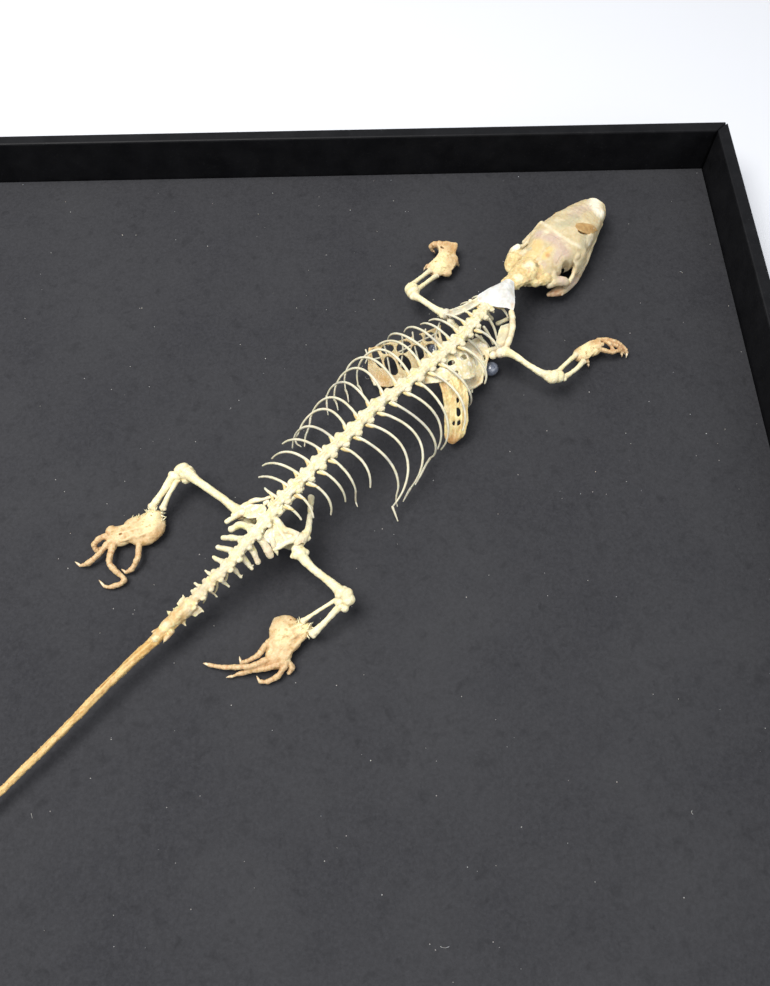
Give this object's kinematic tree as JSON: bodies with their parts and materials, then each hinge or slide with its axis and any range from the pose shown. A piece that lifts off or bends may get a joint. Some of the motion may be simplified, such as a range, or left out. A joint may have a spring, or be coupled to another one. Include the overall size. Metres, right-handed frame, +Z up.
{
  "type": "framed skink skeleton",
  "caption": "Small skink skeleton, back up with legs spread and a long tail, mounted on a charcoal board in a thin black tray frame.",
  "frame": {"origin": "middle of the frame's underside", "axes": "+Z up out of the board, +X to the right rail, +Y to the far rail; the skeleton's head points to +X +Y"},
  "size_m": [0.2084, 0.2084, 0.0161],
  "materials": {
    "frame_black": "satin",
    "board_charcoal": "matte",
    "bone": "satin",
    "dried_skin": "satin",
    "cartilage": "gloss",
    "glass_bead": "gloss"
  },
  "bodies": {
    "root": {"backing_board": "board_charcoal", "rail_right": "frame_black", "rail_far": "frame_black", "rail_left": "frame_black", "rail_near": "frame_black", "bead_chest_right": "glass_bead", "bead_chest_left": "glass_bead", "bead_hips": "glass_bead", "skull": "bone", "jaw_left": "bone", "jaw_right": "bone", "neck": "bone", "trunk_left": "bone", "trunk_right": "bone", "sternum": "cartilage", "costal_plate_left": "cartilage", "costal_plate_right": "cartilage", "nape_cartilage": "cartilage", "shoulder_left": "bone", "shoulder_right": "bone", "humerus_left": "bone", "humerus_right": "bone", "radius_left": "bone", "radius_right": "bone", "ulna_left": "bone", "ulna_right": "bone", "hand_left": "dried_skin", "hand_right": "dried_skin", "sacrum": "bone", "hip_left": "bone", "hip_right": "bone", "femur_left": "bone", "femur_right": "bone", "tibia_left": "bone", "tibia_right": "bone", "fibula_left": "bone", "fibula_right": "bone", "foot_left": "dried_skin", "foot_right": "dried_skin", "tail_base": "bone", "tail_rod_1": "cartilage", "tail_rod_2": "cartilage", "tail_rod_3": "cartilage"}
  },
  "joints": []
}
